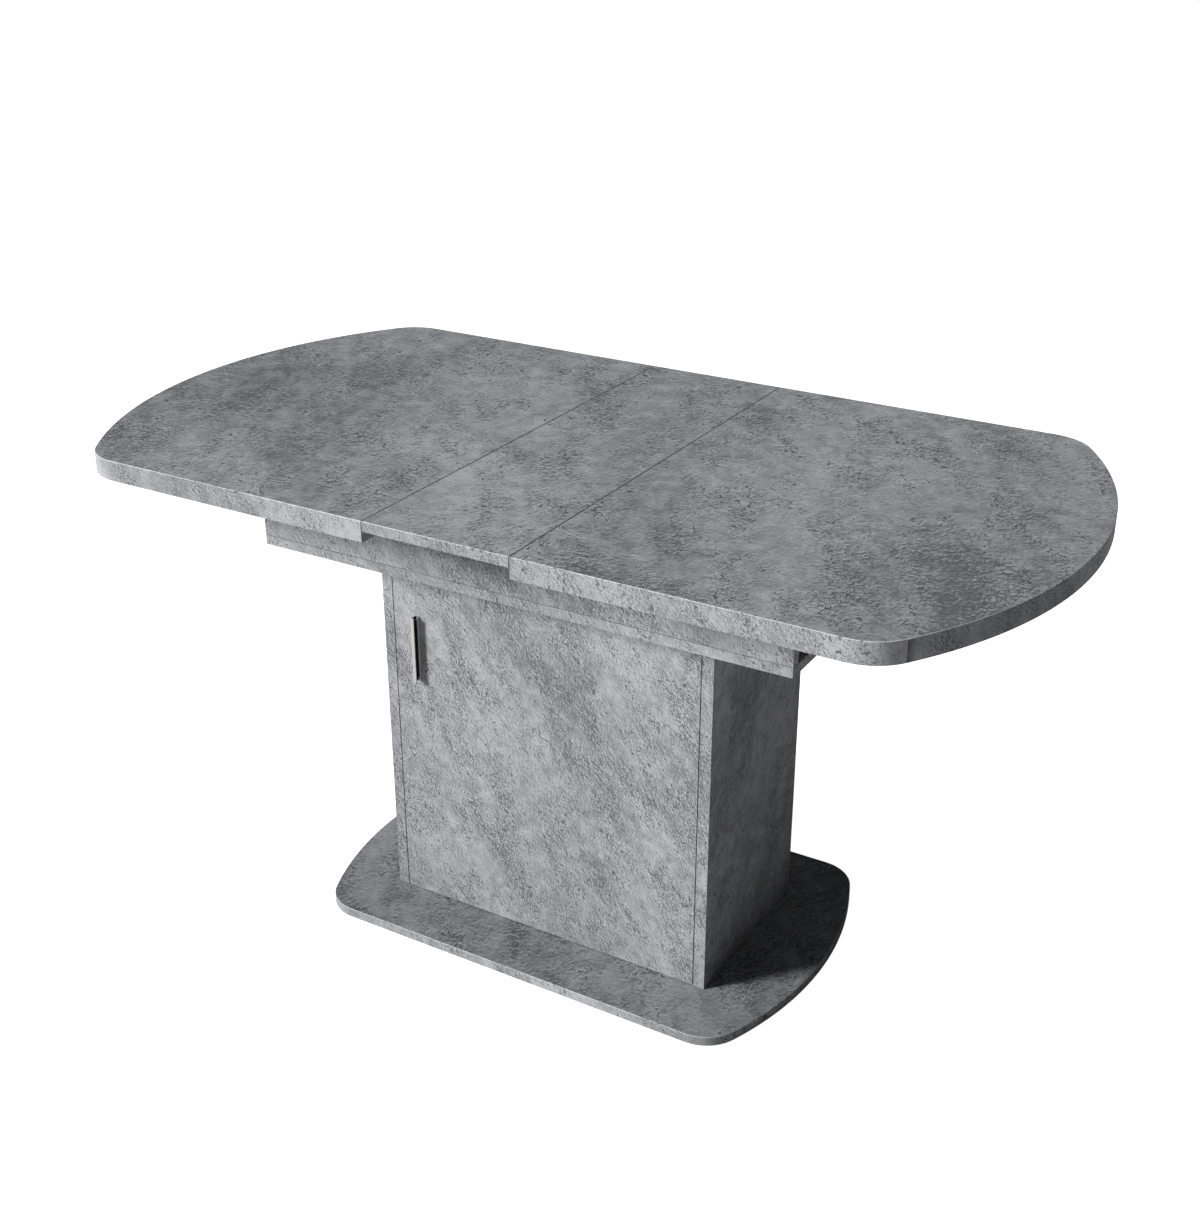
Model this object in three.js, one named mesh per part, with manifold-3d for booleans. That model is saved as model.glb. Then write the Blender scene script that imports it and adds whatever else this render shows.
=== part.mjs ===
// Extendable dining table: two sliding top halves, a lift-out centre leaf, a tray that carries
// the slides and stores the leaf, and a cupboard pedestal on a bowed base plate.
// Millimetres, +Z up. X runs along the table, the cupboard door faces -Y, and the origin is on
// the floor under the middle of the table. The table is drawn extended, with its leaf in place.
import * as THREE from 'three';
import { mergeVertices } from 'three/addons/utils/BufferGeometryUtils.js';
import Module from 'manifold-3d';

const wasm = await Module();
wasm.setup();

// Fits
const touchGap = 0.3;
const seamGap = 0.5;

// Table top
const topLength = 1446;
const topWidth = 778;
const tableHeight = 763;
const endArcRadius = 625;
const topCornerRadius = 75;
const leafWidth = 224;
const boardThickness = 15;
const edgeBandThickness = 1;
const stripWidth = 60;
const leafBattenWidth = 40;
const leafBattenEndGap = 12;

// Tray
const trayLength = 846;
const trayDepth = 455;
const apronHeight = 112;

// Telescopic slides and the runners that they carry
const slideLength = 350;
const slideHeight = 35;
const slideDepth = 12.7;
const slideLip = 2.5;
const steelThickness = 1.2;
const ballTrack = 5;
const retainerThickness = 0.8;
const retainerLength = 180;
const retainerTravelShare = 0.5;
const slideInset = 6;
const slideDrop = 32;
const runnerThickness = 20;
const runnerDrop = 55;
const runnerEndGap = 10;

// Cupboard pedestal
const pedestalWidth = 551;
const pedestalDepth = 296;
const sidePanelThickness = 18;
const doorThickness = 18;
const doorSideGap = 2.5;
const doorEndGap = 2.5;
const shelfHeight = 285;
const shelfFrontGap = 12;
const shelfPinRadius = 2.5;
const shelfPinClearance = 0.3;
const shelfPinDepth = 8;
const shelfPinReach = 9;
const shelfPinInset = 35;

// Door hinges, handle and catch
const hingeEndDistance = 95;
const cupRadius = 17.5;
const cupDepth = 11.5;
const cupWall = 1.2;
const cupEdgeDistance = 22;
const cupFlangeRadius = 22;
const cupFlangeThickness = 1.2;
const hingeArmThickness = 5;
const hingeArmHeight = 14;
const hingeArmReach = 62;
const hingePlateThickness = 3;
const hingePlateHeight = 46;
const hingePlateLength = 34;
const hingeArmClearance = 1.5;
const handleLength = 106;
const handleWidth = 7;
const handleDepth = 15;
const handleWall = 1.5;
const handleSideDistance = 37.5;
const handleTopDistance = 97;
const handleHoleSpacing = 96;
const screwRadius = 1.6;
const screwClearance = 0.4;
const screwHeadRadius = 3.6;
const screwHeadHeight = 2.4;
const screwTipLength = 3;
const catchLength = 46;
const catchWidth = 15;
const catchDepth = 14;
const catchTopDistance = 60;
const strikeLength = 38;
const strikeWidth = 12;
const strikeThickness = 1.2;

// Base plate
const baseLength = 795;
const baseWidth = 500;
const baseArcRadius = 548;
const baseCornerRadius = 64;
const glideHeight = 3;
const glideRadius = 15;
const glideInsetX = 90;
const glideInsetY = 45;

// Levels and faces that follow from the sizes above
const topUnderside = tableHeight - boardThickness;
const edgeUnderside = topUnderside - boardThickness;
const trayTop = edgeUnderside - apronHeight;
const trayUnderside = trayTop - boardThickness;
const baseTop = glideHeight + boardThickness;
const apronInner = trayDepth / 2 - boardThickness;
const slideLevel = edgeUnderside - slideDrop;
const extension = leafWidth / 2 + seamGap;
const bandedInset = edgeBandThickness + touchGap;
const stripInset = bandedInset + stripWidth;
const panelInner = pedestalWidth / 2 - sidePanelThickness;
const pedestalFront = -pedestalDepth / 2;
const doorHalfWidth = panelInner - doorSideGap;
const doorBottom = baseTop + doorEndGap;
const doorTop = trayUnderside - doorEndGap;
const doorBack = pedestalFront + doorThickness;

const finish = (color, roughness, metalness = 0) =>
  new THREE.MeshStandardMaterial({ color, roughness, metalness });
const decor = finish(0x8b8e8f, 0.6);
const decorEdge = finish(0x9a9d9e, 0.6);
const coreBoard = finish(0x8a7a63, 0.9);
const runnerWood = finish(0xb08d5e, 0.7);
const aluminium = finish(0xd8d4c8, 0.35, 0.9);
const zincSteel = finish(0xb4b7ba, 0.4, 0.9);
const nickel = finish(0xc6c3bc, 0.3, 0.9);
const whitePlastic = finish(0xe4e4e0, 0.5);
const blackPlastic = finish(0x242424, 0.6);

const table = new THREE.Group();

function add(name, geometry, material, x = 0, y = 0, z = 0) {
  const mesh = new THREE.Mesh(geometry, material);
  mesh.name = name;
  mesh.position.set(x, y, z);
  table.add(mesh);
  return mesh;
}

// A board between two corners, given as [x, y, z] each, in any order.
function board(name, material, a, b) {
  const size = a.map((value, axis) => Math.abs(b[axis] - value));
  const middle = a.map((value, axis) => (b[axis] + value) / 2);
  return add(name, new THREE.BoxGeometry(...size), material, ...middle);
}

// Manifold solids, for the pieces that are cut.
function solidOf(geometry) {
  const bare = geometry.index ? geometry.toNonIndexed() : geometry.clone();
  bare.deleteAttribute('normal');
  bare.deleteAttribute('uv');
  const merged = mergeVertices(bare, 1e-4);
  return new wasm.Manifold(new wasm.Mesh({
    numProp: 3,
    vertProperties: new Float32Array(merged.attributes.position.array),
    triVerts: new Uint32Array(merged.index.array),
  }));
}

function geometryOf(solid) {
  const mesh = solid.getMesh();
  const geometry = new THREE.BufferGeometry();
  geometry.setAttribute('position', new THREE.BufferAttribute(mesh.vertProperties, 3));
  geometry.setIndex(new THREE.BufferAttribute(mesh.triVerts, 1));
  geometry.computeVertexNormals();
  return geometry;
}

function boxSolid(a, b) {
  const size = a.map((value, axis) => Math.abs(b[axis] - value));
  const middle = a.map((value, axis) => (b[axis] + value) / 2);
  return solidOf(new THREE.BoxGeometry(...size).translate(...middle));
}

// A round bar along the named axis, between two places on that axis.
function roundBar(radius, axis, from, to, [x, y, z], sides = 24) {
  const bar = new THREE.CylinderGeometry(radius, radius, Math.abs(to - from), sides);
  if (axis === 'x') bar.rotateZ(Math.PI / 2);
  if (axis === 'z') bar.rotateX(Math.PI / 2);
  const middle = { x, y, z };
  middle[axis] = (from + to) / 2;
  return bar.translate(middle.x, middle.y, middle.z);
}

// The bowed outline: two straight sides, a wide arc at each end and a fillet at each corner.
// Inset moves it inwards by the same distance all round. Returns the +X, -Y to +Y end.
function bowedEnd(length, width, arcRadius, cornerRadius, inset) {
  const arc = arcRadius - inset;
  const corner = cornerRadius - inset;
  const arcCentreX = length / 2 - arcRadius;
  const cornerY = width / 2 - cornerRadius;
  const reach = Math.sqrt((arcRadius - cornerRadius) ** 2 - cornerY ** 2);
  const turn = Math.atan2(cornerY, reach);
  return { arc, corner, arcCentreX, cornerY, cornerX: arcCentreX + reach, turn };
}

function drawEnd(path, end, side) {
  const { arc, corner, arcCentreX, cornerY, cornerX, turn } = end;
  if (side > 0) {
    path.absarc(cornerX, -cornerY, corner, -Math.PI / 2, -turn, false);
    path.absarc(arcCentreX, 0, arc, -turn, turn, false);
    path.absarc(cornerX, cornerY, corner, turn, Math.PI / 2, false);
  } else {
    path.absarc(-cornerX, cornerY, corner, Math.PI / 2, Math.PI - turn, false);
    path.absarc(-arcCentreX, 0, arc, Math.PI - turn, Math.PI + turn, false);
    path.absarc(-cornerX, -cornerY, corner, Math.PI + turn, 1.5 * Math.PI, false);
  }
}

// The outline of one top half, from its cut edge to its bowed end.
function halfShape(side, inset, cutX) {
  const shape = new THREE.Shape();
  const sideY = topWidth / 2 - inset;
  shape.moveTo(side * cutX, side * sideY);
  shape.lineTo(side * cutX, -side * sideY);
  drawEnd(shape, bowedEnd(topLength, topWidth, endArcRadius, topCornerRadius, inset), side);
  shape.closePath();
  return shape;
}

function fullShape(length, width, arcRadius, cornerRadius, inset) {
  const end = bowedEnd(length, width, arcRadius, cornerRadius, inset);
  const shape = new THREE.Shape();
  drawEnd(shape, end, 1);
  drawEnd(shape, end, -1);
  shape.closePath();
  return shape;
}

function plate(shape, bottom, thickness, curveSegments = 16) {
  return new THREE.ExtrudeGeometry(shape, { depth: thickness, bevelEnabled: false, curveSegments })
    .translate(0, 0, bottom);
}

// A profile drawn in the Y-Z plane and carried along X from one end to the other.
function alongX(profile, from, to) {
  const geometry = new THREE.ExtrudeGeometry(profile, { depth: to - from, bevelEnabled: false });
  geometry.rotateX(Math.PI / 2).rotateZ(Math.PI / 2);
  return geometry.translate(from, 0, 0);
}

// How far the underside frame of a top half reaches towards its end, at a distance from the middle.
function frameEndX(y) {
  const end = bowedEnd(topLength, topWidth, endArcRadius, topCornerRadius, stripInset);
  return end.arcCentreX + Math.sqrt(end.arc ** 2 - y ** 2);
}

const sides = [['left', -1], ['right', 1]];
const faces = [['front', -1], ['back', 1]];

// ---- Top halves: a board, a doubling frame glued under its rim, and a banded edge ----
const cutX = leafWidth / 2 + seamGap;
const innerStripEnd = cutX + stripWidth;

function topHalf(name, side) {
  add(`${name}_top_panel`, plate(halfShape(side, bandedInset, cutX), topUnderside, boardThickness),
    decor);

  const frameTop = topUnderside - touchGap;
  const stripThickness = frameTop - edgeUnderside;
  const whole = solidOf(plate(halfShape(side, bandedInset, cutX), edgeUnderside, stripThickness));
  const inside = solidOf(plate(halfShape(side, stripInset, 0), edgeUnderside - 1,
    stripThickness + 2));
  const stripY = topWidth / 2 - stripInset;
  const middleY = stripY - touchGap;
  const farX = side * topLength;
  for (const [face, faceSide] of faces) {
    const half = boxSolid([0, faceSide * stripY, 0], [farX, faceSide * topWidth, tableHeight]);
    add(`${name}_${face}_strip`, geometryOf(whole.intersect(half)), coreBoard);
  }
  const middle = boxSolid([side * innerStripEnd, -middleY, 0], [farX, middleY, tableHeight]);
  add(`${name}_end_strip`, geometryOf(whole.subtract(inside).intersect(middle)), coreBoard);
  board(`${name}_inner_strip`, coreBoard, [side * cutX, -middleY, edgeUnderside],
    [side * innerStripEnd, middleY, frameTop]);

  const outer = solidOf(plate(halfShape(side, 0, cutX), edgeUnderside,
    tableHeight - edgeUnderside));
  const inner = solidOf(plate(halfShape(side, edgeBandThickness, 0), 0, 2 * tableHeight));
  add(`${name}_edge_band`, geometryOf(outer.subtract(inner)), decorEdge);
}
for (const [name, side] of sides) topHalf(name, side);

// ---- Centre leaf: one board with two banded edges and two battens that rest on the aprons ----
const leafEdgeY = topWidth / 2;
board('leaf_panel', decor, [-leafWidth / 2, -leafEdgeY + bandedInset, topUnderside],
  [leafWidth / 2, leafEdgeY - bandedInset, tableHeight]);
for (const [face, side] of faces) {
  board(`leaf_${face}_edge_band`, decorEdge,
    [-leafWidth / 2, side * leafEdgeY, topUnderside],
    [leafWidth / 2, side * (leafEdgeY - edgeBandThickness), tableHeight]);
  const battenX = leafWidth / 2 - leafBattenEndGap;
  board(`leaf_${face}_batten`, runnerWood,
    [-battenX, side * trayDepth / 2, edgeUnderside + touchGap],
    [battenX, side * (trayDepth / 2 - leafBattenWidth), topUnderside - touchGap]);
}

// ---- Tray: a board with an apron standing on its front and back edges ----
board('tray_board', decor, [-trayLength / 2, -trayDepth / 2, trayUnderside],
  [trayLength / 2, trayDepth / 2, trayTop]);
for (const [face, side] of faces) {
  board(`${face}_apron`, decor, [-trayLength / 2, side * trayDepth / 2, trayTop + touchGap],
    [trayLength / 2, side * apronInner, edgeUnderside - touchGap]);
}

// ---- Telescopic slides: an outer channel on the apron, a ball retainer and an inner channel ----
// A channel with its web on the apron side or on the runner side, as a Y-Z profile.
function channel(webY, openY, halfHeight, thickness, lip) {
  const out = Math.sign(openY - webY);
  const web = webY + out * thickness;
  const edge = halfHeight - thickness;
  const points = [[webY, -halfHeight], [openY, -halfHeight]];
  if (lip > 0) {
    const lipY = openY - out * thickness;
    points.push([openY, -halfHeight + lip], [lipY, -halfHeight + lip], [lipY, -edge]);
  } else {
    points.push([openY, -edge]);
  }
  points.push([web, -edge], [web, edge]);
  if (lip > 0) {
    const lipY = openY - out * thickness;
    points.push([lipY, edge], [lipY, halfHeight - lip], [openY, halfHeight - lip]);
  } else {
    points.push([openY, edge]);
  }
  points.push([openY, halfHeight], [webY, halfHeight]);
  return new THREE.Shape(points.map(([y, z]) => new THREE.Vector2(y, z + slideLevel)));
}

// The slide stands close to the tray's open end, and its inner channel is out by the extension.
const slideOuterX = trayLength / 2 - slideInset;
const slideInnerX = slideOuterX - slideLength;
const retainerMiddle = (slideOuterX + slideInnerX) / 2 + extension * retainerTravelShare;
const runnerInner = innerStripEnd + touchGap;
const innerHalfHeight = slideHeight / 2 - steelThickness - ballTrack;
const retainerHalfHeight = slideHeight / 2 - steelThickness - (ballTrack - retainerThickness) / 2;

function spanX(side, from, to) {
  return side > 0 ? [from, to] : [-to, -from];
}

for (const [name, side] of sides) {
  for (const [face, faceSide] of faces) {
    const apronFace = faceSide * (apronInner - touchGap);
    const runnerFace = faceSide * (apronInner - touchGap - slideDepth);
    const webToRetainer = steelThickness + touchGap;
    add(`${name}_${face}_slide_outer`,
      alongX(channel(apronFace, runnerFace + faceSide * steelThickness, slideHeight / 2,
        steelThickness, slideLip), ...spanX(side, slideInnerX, slideOuterX)), zincSteel);
    add(`${name}_${face}_ball_retainer`,
      alongX(channel(apronFace - faceSide * webToRetainer,
        runnerFace + faceSide * (2 * steelThickness + touchGap), retainerHalfHeight,
        retainerThickness, 0),
      ...spanX(side, retainerMiddle - retainerLength / 2, retainerMiddle + retainerLength / 2)),
      nickel);
    add(`${name}_${face}_slide_inner`,
      alongX(channel(runnerFace, apronFace - faceSide * (webToRetainer + 2 * steelThickness),
        innerHalfHeight, steelThickness, 0),
      ...spanX(side, slideInnerX + extension, slideOuterX + extension)), zincSteel);

    const runnerOuterFace = runnerFace - faceSide * touchGap;
    const runnerOuterX = frameEndX(apronInner) - runnerEndGap;
    board(`${name}_${face}_runner`, runnerWood,
      [side * runnerInner, runnerOuterFace, topUnderside - touchGap],
      [side * runnerOuterX, runnerOuterFace - faceSide * runnerThickness,
        topUnderside - touchGap - runnerDrop]);
  }
}

// ---- Pedestal: two side panels, a back panel and a shelf on four pins ----
const pinLevel = baseTop + shelfHeight - touchGap - shelfPinRadius;
const pinFrontY = doorBack + shelfFrontGap + shelfPinInset;
const pinBackY = pedestalDepth / 2 - boardThickness - shelfPinInset;

for (const [name, side] of sides) {
  let panel = boxSolid([side * panelInner, pedestalFront, baseTop + touchGap],
    [side * pedestalWidth / 2, -pedestalFront, trayUnderside - touchGap]);
  for (const [face, y] of [['front', pinFrontY], ['back', pinBackY]]) {
    const holeEnd = side * (panelInner + shelfPinDepth + touchGap);
    panel = panel.subtract(solidOf(roundBar(shelfPinRadius + shelfPinClearance, 'x',
      side * (panelInner - 1), holeEnd, [0, y, pinLevel])));
    add(`shelf_pin_${name}_${face}`, roundBar(shelfPinRadius, 'x',
      side * (panelInner - shelfPinReach), side * (panelInner + shelfPinDepth),
      [0, y, pinLevel]), nickel);
  }
  add(`${name}_side_panel`, geometryOf(panel), decor);
}
board('back_panel', decor,
  [-panelInner + touchGap, -pedestalFront - boardThickness, baseTop + touchGap],
  [panelInner - touchGap, -pedestalFront, trayUnderside - touchGap]);
board('shelf', decor,
  [-panelInner + 2 * touchGap, doorBack + shelfFrontGap, baseTop + shelfHeight],
  [panelInner - 2 * touchGap, -pedestalFront - boardThickness - touchGap,
    baseTop + shelfHeight + boardThickness]);

// ---- Door, with bored cups for its two hinges and holes for the handle screws ----
const cupX = doorHalfWidth - cupEdgeDistance;
const hingeLevels = [['lower', doorBottom + hingeEndDistance], ['upper', doorTop - hingeEndDistance]];
const handleX = -doorHalfWidth + handleSideDistance + handleWidth / 2;
const handleTop = doorTop - handleTopDistance;
const handleMiddle = handleTop - handleLength / 2;
const screwLevels = [['lower', handleMiddle - handleHoleSpacing / 2],
  ['upper', handleMiddle + handleHoleSpacing / 2]];

let door = boxSolid([-doorHalfWidth, pedestalFront, doorBottom], [doorHalfWidth, doorBack, doorTop]);
for (const [, level] of hingeLevels) {
  door = door.subtract(solidOf(roundBar(cupRadius + touchGap, 'y',
    doorBack - cupDepth - touchGap, doorBack + 1, [cupX, 0, level], 32)));
}
for (const [, level] of screwLevels) {
  door = door.subtract(solidOf(roundBar(screwRadius + screwClearance, 'y', pedestalFront - 1,
    doorBack + 1, [handleX, 0, level])));
}
add('door_panel', geometryOf(door), decor);

// A hinge cup is a turned dish with a flange that lies on the back of the door.
function hingeCup() {
  const inner = cupRadius - cupWall;
  const floor = cupDepth - cupWall;
  const points = [[0, -cupDepth], [cupRadius, -cupDepth], [cupRadius, touchGap],
    [cupFlangeRadius, touchGap], [cupFlangeRadius, touchGap + cupFlangeThickness],
    [inner, touchGap + cupFlangeThickness], [inner, -floor], [0, -floor]];
  return new THREE.LatheGeometry(points.map(([r, h]) => new THREE.Vector2(r, h)), 32);
}

// A hinge arm is a steel plate on the side panel with an arm that reaches towards the cup.
function hingeArm() {
  const armY = doorBack + touchGap + cupFlangeThickness + hingeArmClearance;
  const shape = new THREE.Shape();
  const wallX = panelInner - touchGap;
  const plateX = wallX - hingePlateThickness;
  const plateStartY = armY + hingeArmReach - hingePlateLength;
  shape.moveTo(wallX, plateStartY);
  shape.lineTo(wallX, armY + hingeArmReach);
  shape.lineTo(plateX - hingeArmThickness, armY + hingeArmReach);
  shape.lineTo(plateX - hingeArmThickness, armY + 2 * hingeArmThickness);
  shape.lineTo(cupX, armY + hingeArmThickness);
  shape.lineTo(cupX, armY);
  shape.lineTo(plateX, armY);
  shape.lineTo(plateX, plateStartY);
  shape.closePath();
  const arm = plate(shape, -hingeArmHeight / 2, hingeArmHeight);
  const wallPlate = boxSolid([wallX, plateStartY, -hingePlateHeight / 2],
    [plateX, armY + hingeArmReach, hingePlateHeight / 2]);
  return geometryOf(solidOf(arm).add(wallPlate));
}

for (const [name, level] of hingeLevels) {
  add(`${name}_hinge_cup`, hingeCup(), nickel, cupX, doorBack, level);
  add(`${name}_hinge_arm`, hingeArm(), nickel, 0, 0, level);
}

// The handle is a channel with its open side towards the hinges, screwed on from inside the door.
const handleBack = pedestalFront - touchGap;
let handle = boxSolid([handleX - handleWidth / 2, handleBack - handleDepth, handleTop - handleLength],
  [handleX + handleWidth / 2, handleBack, handleTop]);
handle = handle.subtract(boxSolid(
  [handleX - handleWidth / 2 + handleWall, handleBack - handleDepth + handleWall, 0],
  [handleX + handleWidth, handleBack - handleWall, tableHeight]));
for (const [name, level] of screwLevels) {
  handle = handle.subtract(solidOf(roundBar(screwRadius + screwClearance, 'y',
    handleBack - handleWall - 1, handleBack + 1, [handleX, 0, level])));
  const headY = doorBack + touchGap;
  const tipY = handleBack - screwTipLength;
  const shank = solidOf(roundBar(screwRadius, 'y', tipY, headY + 1, [handleX, 0, level]));
  const head = solidOf(roundBar(screwHeadRadius, 'y', headY, headY + screwHeadHeight,
    [handleX, 0, level]));
  add(`${name}_handle_screw`, geometryOf(shank.add(head)), zincSteel);
}
add('door_handle', geometryOf(handle), aluminium);

// A magnetic catch on the left side panel pulls a strike plate on the back of the door.
const catchLevel = doorTop - catchTopDistance;
const catchFrontY = doorBack + 2 * touchGap + strikeThickness;
board('magnetic_catch', whitePlastic,
  [-panelInner + touchGap, catchFrontY, catchLevel - catchLength / 2],
  [-panelInner + touchGap + catchWidth, catchFrontY + catchDepth, catchLevel + catchLength / 2]);
const strikeX = -doorHalfWidth + strikeWidth / 2 + touchGap;
board('strike_plate', zincSteel,
  [strikeX - strikeWidth / 2, doorBack + touchGap, catchLevel - strikeLength / 2],
  [strikeX + strikeWidth / 2, doorBack + touchGap + strikeThickness,
    catchLevel + strikeLength / 2]);

// ---- Base plate with a banded edge, on four glides ----
const baseOutline = (inset) =>
  fullShape(baseLength, baseWidth, baseArcRadius, baseCornerRadius, inset);
add('base_plate', plate(baseOutline(bandedInset), glideHeight, boardThickness), decor);
const baseRim = solidOf(plate(baseOutline(0), glideHeight, boardThickness));
const baseCore = solidOf(plate(baseOutline(edgeBandThickness), 0, tableHeight));
add('base_edge_band', geometryOf(baseRim.subtract(baseCore)), decorEdge);
for (const [name, side] of sides) {
  for (const [face, faceSide] of faces) {
    add(`${name}_${face}_glide`, roundBar(glideRadius, 'z', 0, glideHeight - touchGap,
      [side * (baseLength / 2 - glideInsetX), faceSide * (baseWidth / 2 - glideInsetY), 0]),
    blackPlastic);
  }
}

export default table;
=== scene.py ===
"""Extendable dining table in a cast-concrete decor: the visual model, built around the CAD frame.

Metres, +Z up. X runs along the table and the cupboard door faces -Y.
"""
import math

import bmesh
import bpy
import numpy as np
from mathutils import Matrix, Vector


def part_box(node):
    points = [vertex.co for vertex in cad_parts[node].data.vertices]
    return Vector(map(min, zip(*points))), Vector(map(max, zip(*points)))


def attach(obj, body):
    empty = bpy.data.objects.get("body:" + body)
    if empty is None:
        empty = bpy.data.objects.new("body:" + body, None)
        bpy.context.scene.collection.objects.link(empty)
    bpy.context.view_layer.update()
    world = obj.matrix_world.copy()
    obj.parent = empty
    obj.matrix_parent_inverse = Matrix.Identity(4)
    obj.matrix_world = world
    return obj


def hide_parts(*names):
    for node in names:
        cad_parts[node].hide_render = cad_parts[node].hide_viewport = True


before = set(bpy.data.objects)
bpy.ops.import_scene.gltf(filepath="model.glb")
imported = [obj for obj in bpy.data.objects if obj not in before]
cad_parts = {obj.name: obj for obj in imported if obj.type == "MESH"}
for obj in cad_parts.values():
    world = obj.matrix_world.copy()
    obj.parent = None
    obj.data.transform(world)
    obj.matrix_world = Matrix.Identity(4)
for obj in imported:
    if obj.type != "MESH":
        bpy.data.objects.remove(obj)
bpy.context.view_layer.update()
MM = 0.001


# ---- Camera ----
# A 50 mm lens at eye height, to the right of the cupboard door and looking down on the top.
camera_data = bpy.data.cameras.new("camera")
camera_data.sensor_width = 36.0
camera_data.lens = 50.09
camera = bpy.data.objects.new("camera", camera_data)
camera.location = (1.1525, -1.9415, 1.5718)
camera.rotation_euler = (math.radians(64.97), 0.0, math.radians(30.43))
bpy.context.scene.collection.objects.link(camera)
bpy.context.scene.camera = camera
bpy.context.scene.view_settings.view_transform = "Standard"


# ---- Floor and studio light ----
# A plain pale floor that runs into a white surround, a key light far off and low at the front
# left, and a weak panel over the top. The surround looks white and gives only a dim even light.
def direct_and_seen(nodes, links, seen, lit, target):
    """Shows one shader to the camera and gives the other to every other ray."""
    path = nodes.new("ShaderNodeLightPath")
    mix = nodes.new("ShaderNodeMixShader")
    links.new(path.outputs["Is Camera Ray"], mix.inputs["Fac"])
    links.new(lit, mix.inputs[1])
    links.new(seen, mix.inputs[2])
    links.new(mix.outputs["Shader"], target)


world = bpy.data.worlds.new("surround")
bpy.context.scene.world = world
world.use_nodes = True
nodes, links = world.node_tree.nodes, world.node_tree.links
nodes.clear()
seen = nodes.new("ShaderNodeBackground")
seen.inputs["Color"].default_value = (1.0, 1.0, 1.0, 1.0)
lit = nodes.new("ShaderNodeBackground")
lit.inputs["Color"].default_value = (0.96, 0.98, 1.0, 1.0)
lit.inputs["Strength"].default_value = 0.04
out = nodes.new("ShaderNodeOutputWorld")
direct_and_seen(nodes, links, seen.outputs[0], lit.outputs[0], out.inputs["Surface"])

floor_paint = bpy.data.materials.new("floor_paint")
floor_paint.use_nodes = True
nodes, links = floor_paint.node_tree.nodes, floor_paint.node_tree.links
nodes.clear()
matt = nodes.new("ShaderNodeBsdfDiffuse")
matt.inputs["Color"].default_value = (0.75, 0.75, 0.75, 1.0)
glow = nodes.new("ShaderNodeEmission")
glow.inputs["Strength"].default_value = 1.0
both = nodes.new("ShaderNodeAddShader")
links.new(matt.outputs[0], both.inputs[0])
links.new(glow.outputs[0], both.inputs[1])
out = nodes.new("ShaderNodeOutputMaterial")
direct_and_seen(nodes, links, both.outputs[0], matt.outputs[0], out.inputs["Surface"])

floor_size = 30.0
corner = floor_size / 2
floor_mesh = bpy.data.meshes.new("floor")
floor_mesh.from_pydata(
    [(-corner, -corner, 0), (corner, -corner, 0), (corner, corner, 0), (-corner, corner, 0)],
    [], [(0, 1, 2, 3)])
floor_mesh.materials.append(floor_paint)
floor = bpy.data.objects.new("floor", floor_mesh)
bpy.context.scene.collection.objects.link(floor)


def soft_light(name, azimuth, elevation, distance, size, power, aim):
    """A square light panel. Azimuth 0 stands in front of the door and 90 at the right end."""
    data = bpy.data.lights.new(name, "AREA")
    data.size = size
    data.energy = power
    turn, rise = math.radians(azimuth), math.radians(elevation)
    away = np.array([math.sin(turn) * math.cos(rise), -math.cos(turn) * math.cos(rise),
                     math.sin(rise)])
    light = bpy.data.objects.new(name, data)
    light.location = np.array(aim) + distance * away
    light.rotation_euler = (math.pi / 2 - rise, 0.0, turn)
    bpy.context.scene.collection.objects.link(light)


table_middle = (0.0, 0.0, 0.4)
soft_light("key_light", -45.5, 22.0, 30.0, 6.5, 12300.0, table_middle)
soft_light("top_light", 0.0, 90.0, 3.2, 1.6, 23.0, table_middle)


# ---- Top halves ----
# Each half is a chipboard panel faced with a matt printed sheet that looks like cast concrete.
# A frame of chipboard strips doubles its rim, and a plastic band in the same decor covers the
# edge. The print runs slantwise in soft streaks, with small dark pits scattered in it.
def new_group(name, inputs, outputs):
    """An empty shader node group with the named sockets, given as (name, type, default)."""
    group = bpy.data.node_groups.new(name, "ShaderNodeTree")
    for label, kind, value in inputs:
        socket = group.interface.new_socket(label, in_out="INPUT", socket_type=kind)
        if value is not None:
            socket.default_value = value
    for label, kind in outputs:
        group.interface.new_socket(label, in_out="OUTPUT", socket_type=kind)
    return group, group.nodes.new("NodeGroupInput"), group.nodes.new("NodeGroupOutput")


def noise(tree, vector, scale, detail, roughness, distortion=0.0):
    """A noise texture on a vector socket, from 0 to 1. Scale is in cells per metre."""
    node = tree.nodes.new("ShaderNodeTexNoise")
    node.inputs["Scale"].default_value = scale
    node.inputs["Detail"].default_value = detail
    node.inputs["Roughness"].default_value = roughness
    node.inputs["Distortion"].default_value = distortion
    tree.links.new(vector, node.inputs["Vector"])
    return node.outputs["Fac"]


def calc(tree, operation, first, second=None, clamp=False):
    """One Math node. Each value is a socket or a number."""
    node = tree.nodes.new("ShaderNodeMath")
    node.operation = operation
    node.use_clamp = clamp
    for socket, value in zip(node.inputs, (first, second)):
        if isinstance(value, (int, float)):
            socket.default_value = value
        elif value is not None:
            tree.links.new(value, socket)
    return node.outputs[0]


def remap(tree, value, low, high, to_low, to_high):
    """A linear map from one range to another, held at its ends."""
    node = tree.nodes.new("ShaderNodeMapRange")
    tree.links.new(value, node.inputs["Value"])
    for label, number in zip(("From Min", "From Max", "To Min", "To Max"),
                             (low, high, to_low, to_high)):
        node.inputs[label].default_value = number
    return node.outputs["Result"]


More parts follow.
